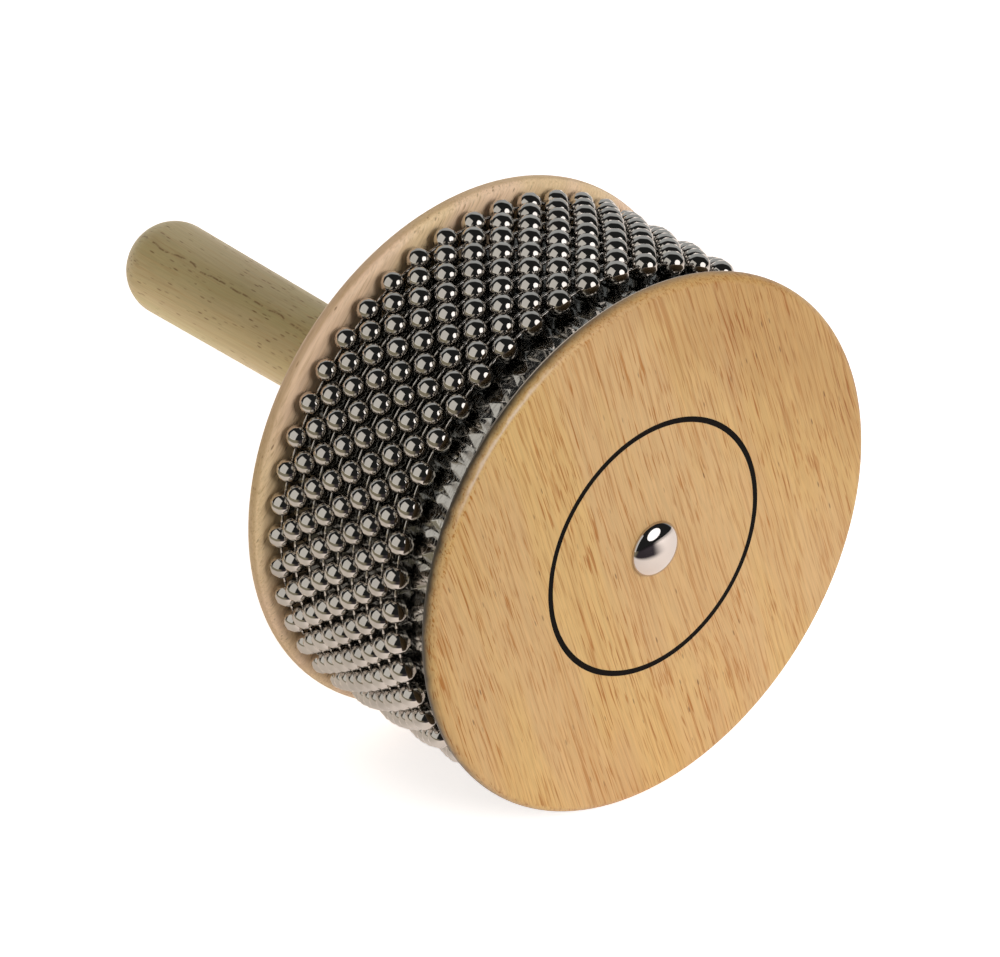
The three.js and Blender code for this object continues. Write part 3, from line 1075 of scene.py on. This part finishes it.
class CABASA_OT_bolt(bpy.types.Operator):
    """Model the carriage bolt: a polished dome, a square neck and a shank"""

    bl_idname = "cabasa.bolt"
    bl_label = "Carriage bolt"

    def execute(self, context):
        sizes = context.scene.cabasa_bolt
        finish = context.scene.cabasa_finish
        top, tip = BOLT[0].y, BOLT[1].y
        flatness = (FRONT_FACE - top) / sizes.head_radius
        rim = FRONT_FACE - sizes.rim_height
        begin()
        bpy.ops.mesh.primitive_uv_sphere_add(
            segments=sizes.sides, ring_count=sizes.sides, radius=sizes.head_radius,
            location=(0, FRONT_FACE, AXIS_HEIGHT), rotation=(QUARTER_TURN, 0, 0))
        piece = named("carriage_bolt_plated")
        enter()
        bpy.ops.mesh.select_all(action="SELECT")
        scale_at(FRONT_FACE, 1, flatness)
        bpy.ops.mesh.bisect(
            plane_co=(0, rim, AXIS_HEIGHT), plane_no=(0, 1, 0), use_fill=True, clear_outer=True)
        pick("FACE", is_many_sided)
        push_back(sizes.rim_height)
        bpy.ops.mesh.inset(thickness=sizes.head_radius - sizes.shank_radius, depth=0)
        chamfer = sizes.shank_radius / 4
        push_back(tip - FRONT_FACE - chamfer)
        push_back(chamfer)
        scale_at(tip, (sizes.shank_radius - chamfer) / sizes.shank_radius)
        bpy.ops.mesh.select_all(action="DESELECT")
        bpy.ops.mesh.primitive_cube_add(
            size=sizes.neck_side, location=(0, FRONT_FACE + sizes.neck_length / 2, AXIS_HEIGHT),
            scale=(1, sizes.neck_length / sizes.neck_side, 1))
        leave()
        smooth(piece)
        dress(piece, metal_material("Chrome plate", finish.chrome, low=0.04, high=0.1))
        place_piece(piece, FIXED_BODY, "bolt_chrome", "carriage_bolt")
        return {"FINISHED"}


class CABASA_OT_hidden_parts(bpy.types.Operator):
    """Finish the core and the insert, which stay as they are inside the drum and the handle"""

    bl_idname = "cabasa.hidden_parts"
    bl_label = "Core and insert"

    def execute(self, context):
        finish = context.scene.cabasa_finish
        dress(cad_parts["drum_core"], pale_wood(
            "Pale wood core", finish.pale_light, finish.pale_rosy, (0.0, 0.0, 0.0), flecks=0.4))
        dress(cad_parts["handle_insert"], metal_material(
            "Plain brass", finish.brass, low=0.2, high=0.4))
        return {"FINISHED"}


# Stage

# The room as the object is lit by it and mirrors it. Turns are round the object, as for the camera, and
# pairs of numbers are where a tone starts to blend in and where it is full.
LEFT_ROOM_TURN, LEFT_ROOM_SHARES = math.radians(-105), (0.4, 0.8)
LEFT_ROOM_ON_TABLE = 0.4
RIGHT_TABLE_TURN, RIGHT_TABLE_SHARES = math.radians(50), (0.75, 0.95)
BEHIND_DRUM = (0.1, 0.2)
REACH_SOFTNESS = 1.3
UNDER_DRUM_GLOW = (0.2, 0.8)
UNDER_HANDLE_GLOW = 1.3
UNDER_HANDLE_REACH = 0.04
SWEEP_SOFTNESS = 0.08
SWEEP_TINT = (0.96, 1.0, 1.0)
UNLIT = 0.02
BACKDROP_LIGHT = 0.9
FLOOR_RADIUS, FLOOR_SIDES = 9, 96

# Directions are an azimuth and an elevation in degrees
LAMPS = (
    dict(name="Round front light", degrees=(13.6, 27.6), distance=0.6, size=(0.46, 0.46), power=0.95,
         colour=(1.0, 0.98, 0.97), in_reflections=True),
    dict(name="Front fill", degrees=(-8, 27), distance=1.0, size=(0.35, 0.35), power=4.2,
         colour=(1.0, 0.98, 0.96), in_reflections=False),
    dict(name="Left panel", degrees=(-98, 30), distance=0.75, size=(0.92, 1.0), power=2.1,
         colour=(1.0, 0.98, 0.92), in_reflections=True),
    dict(name="Back sweep", degrees=(139, 25), distance=1.3, size=(2.4, 1.3), power=15,
         colour=(1.0, 0.98, 0.96), in_reflections=False),
)


def direction(azimuth, elevation):
    """From the object towards a place round it. Azimuth 0 is in front, at -Y."""
    flat = math.cos(elevation)
    return Vector((math.sin(azimuth) * flat, -math.cos(azimuth) * flat, math.sin(elevation)))


def facing(back):
    """A rotation whose Z axis points back, with X level."""
    right = Vector((0, 0, 1)).cross(back).normalized()
    up = back.cross(right)
    return Matrix((right, up, back)).transposed()


def add_lamp(name, degrees, distance, size, power, colour, in_reflections):
    """An area light that faces the drum from a direction given in degrees."""
    towards = direction(*(math.radians(angle) for angle in degrees))
    bpy.ops.object.light_add(type="AREA")
    lamp = bpy.context.object
    lamp.name = name
    lamp.data.shape = "RECTANGLE" if size[0] != size[1] else "DISK"
    lamp.data.size, lamp.data.size_y = size
    lamp.data.energy = power
    lamp.data.color = colour
    lamp.visible_glossy = in_reflections
    lamp.visible_camera = False
    middle = Vector((0, 0, AXIS_HEIGHT))
    lamp.matrix_world = Matrix.Translation(middle + towards * distance) @ facing(towards).to_4x4()


def add_camera(stage):
    """The camera, at the photo's place and angle."""
    back = direction(stage.azimuth, stage.elevation)
    turned = facing(back)
    right, up = turned.col[0], turned.col[1]
    bpy.ops.object.camera_add()
    camera = bpy.context.object
    camera.name = "Camera"
    camera.data.sensor_width = 36
    camera.data.sensor_fit = "HORIZONTAL"
    camera.data.lens = stage.lens
    camera.data.clip_end = 50
    centre = Vector((0, FRONT_FACE, AXIS_HEIGHT))
    spot = centre - right * stage.centre_right + up * stage.centre_down + back * stage.distance
    camera.matrix_world = Matrix.Translation(spot) @ turned.to_4x4()
    bpy.context.scene.camera = camera


def pale_floor(stage):
    """The floor: plain and pale to the camera, and a bright table in a darker room to the object"""
    material, tree, shader, place = new_material("Pale floor")
    rays = add_node(tree, "ShaderNodeLightPath").outputs

    def lies_towards(turn, vector, low, high):
        return ramp(tree, on_vectors(tree, "DOT_PRODUCT", vector, direction(turn, 0)), low, high)

    paler = [1 - (1 - value) * 0.9 for value in stage.floor]
    tone = ramp(tree, noise_value(tree, place, scale=3), 0.3, 0.7)
    seen = blend_colours(tree, tone, opaque(stage.floor), opaque(paler))

    heading = on_vectors(tree, "NORMALIZE", place)
    left = lies_towards(LEFT_ROOM_TURN, heading, *LEFT_ROOM_SHARES)
    right = lies_towards(RIGHT_TABLE_TURN, heading, *RIGHT_TABLE_SHARES)
    behind = lies_towards(stage.azimuth + math.pi, place, *BEHIND_DRUM)
    far = ramp(tree, on_vectors(tree, "LENGTH", place), stage.table_reach, REACH_SOFTNESS * stage.table_reach)
    dim = product(tree, far, subtract(tree, 1.0, behind), subtract(tree, 1.0, right))
    room = blend_colours(tree, left, opaque(stage.room_dark), opaque(stage.room))
    table = blend_colours(
        tree, product(tree, left, LEFT_ROOM_ON_TABLE), opaque(stage.table), opaque(stage.room))
    thrown = blend_colours(tree, dim, table, room)
    colour = blend_colours(tree, rays["Is Camera Ray"], thrown, seen)
    feed(tree, shader["Base Color"], colour)
    feed(tree, shader["Emission Color"], colour)

    along = axes_of(tree, place)[1]
    disc_front, disc_back = BACK_DISC[0].y, BACK_DISC[1].y
    under_drum = ramp(tree, along, FRONT_FACE, disc_front, *UNDER_DRUM_GLOW)
    under_handle = ramp(
        tree, along, disc_front, disc_back + UNDER_HANDLE_REACH, 0.0, UNDER_HANDLE_GLOW)
    seen_glow = product(tree, rays["Is Camera Ray"], stage.floor_glow)
    mirrored_glow = product(tree, rays["Is Glossy Ray"], stage.table_glow)
    thrown_glow = product(tree, rays["Is Diffuse Ray"], add(tree, under_drum, under_handle))
    feed(tree, shader["Emission Strength"], add(tree, add(tree, seen_glow, mirrored_glow), thrown_glow))
    feed(tree, shader["Roughness"], 0.9)
    feed(tree, shader["Specular IOR Level"], 0.1)
    return material


def studio_world(stage):
    """Soft light from all round, a pale backdrop, and a white sweep that only reflections see"""
    world = bpy.data.worlds.new("Studio")
    world.use_nodes = True
    tree = world.node_tree
    tree.nodes.clear()

    def glow(value, tint=(1, 1, 1)):
        node = add_node(tree, "ShaderNodeBackground")
        feed(tree, node.inputs["Strength"], value)
        node.inputs["Color"].default_value = opaque(tint)
        return node.outputs[0]

    def either(share, first, second):
        node = add_node(tree, "ShaderNodeMixShader")
        for socket, value in zip(node.inputs, (share, first, second)):
            tree.links.new(value, socket)
        return node.outputs[0]

    rays = add_node(tree, "ShaderNodeLightPath").outputs
    towards = add_node(tree, "ShaderNodeTexCoord").outputs["Generated"]
    facing_sweep = on_vectors(tree, "DOT_PRODUCT", towards, direction(stage.azimuth + math.pi, 0))
    edge = math.cos(stage.sweep_angle)
    sweep = ramp(
        tree, facing_sweep, edge - SWEEP_SOFTNESS, edge + SWEEP_SOFTNESS, UNLIT, stage.sweep_light)
    lit = either(rays["Is Diffuse Ray"], glow(sweep, SWEEP_TINT), glow(stage.soft_light))
    backdrop = glow(BACKDROP_LIGHT if stage.show_backdrop else UNLIT)
    out = add_node(tree, "ShaderNodeOutputWorld")
    tree.links.new(either(rays["Is Camera Ray"], lit, backdrop), out.inputs["Surface"])
    return world


class CABASA_OT_stage(bpy.types.Operator):
    """Set the camera, the pale floor and the soft lights"""

    bl_idname = "cabasa.stage"
    bl_label = "Stage"

    def execute(self, context):
        stage = context.scene.cabasa_stage
        add_camera(stage)
        begin()
        bpy.ops.mesh.primitive_circle_add(
            vertices=FLOOR_SIDES, radius=FLOOR_RADIUS, fill_type="NGON", location=(0, 0, cad_box[0][2]))
        floor = named("Floor")
        dress(floor, pale_floor(stage))
        for lamp in LAMPS:
            add_lamp(**lamp)
        context.scene.world = studio_world(stage)
        context.scene.view_settings.view_transform = "Standard"
        return {"FINISHED"}


OPERATORS = (
    CABASA_OT_front_disc,
    CABASA_OT_back_disc,
    CABASA_OT_sleeve,
    CABASA_OT_chain,
    CABASA_OT_handle,
    CABASA_OT_bolt,
    CABASA_OT_hidden_parts,
    CABASA_OT_stage,
)

SETTINGS = {
    "cabasa_discs": CabasaDiscs,
    "cabasa_sleeve": CabasaSleeve,
    "cabasa_chain": CabasaChain,
    "cabasa_handle": CabasaHandle,
    "cabasa_bolt": CabasaBolt,
    "cabasa_finish": CabasaFinish,
    "cabasa_stage": CabasaStage,
}


class CABASA_PT_panel(bpy.types.Panel):
    """Lists the pieces of the cabasa and their sizes"""

    bl_idname = "CABASA_PT_panel"
    bl_label = "Cabasa"
    bl_space_type = "VIEW_3D"
    bl_region_type = "UI"
    bl_category = "Cabasa"

    def draw(self, context):
        layout = self.layout
        for operator in OPERATORS:
            layout.operator(operator.bl_idname)
        for setting, group in SETTINGS.items():
            box = layout.box()
            box.label(text=group.__doc__)
            for key in group.__annotations__:
                box.prop(getattr(context.scene, setting), key)


def register():
    for group in SETTINGS.values():
        bpy.utils.register_class(group)
    for setting, group in SETTINGS.items():
        setattr(bpy.types.Scene, setting, PointerProperty(type=group))
    for operator in OPERATORS:
        bpy.utils.register_class(operator)
    bpy.utils.register_class(CABASA_PT_panel)


def unregister():
    bpy.utils.unregister_class(CABASA_PT_panel)
    for operator in reversed(OPERATORS):
        bpy.utils.unregister_class(operator)
    for setting, group in reversed(SETTINGS.items()):
        delattr(bpy.types.Scene, setting)
        bpy.utils.unregister_class(group)


def main():
    register()
    bpy.ops.cabasa.stage()
    bpy.ops.cabasa.front_disc()
    bpy.ops.cabasa.back_disc()
    bpy.ops.cabasa.sleeve()
    bpy.ops.cabasa.chain()
    bpy.ops.cabasa.handle()
    bpy.ops.cabasa.bolt()
    bpy.ops.cabasa.hidden_parts()


if __name__ == "__main__":
    main()
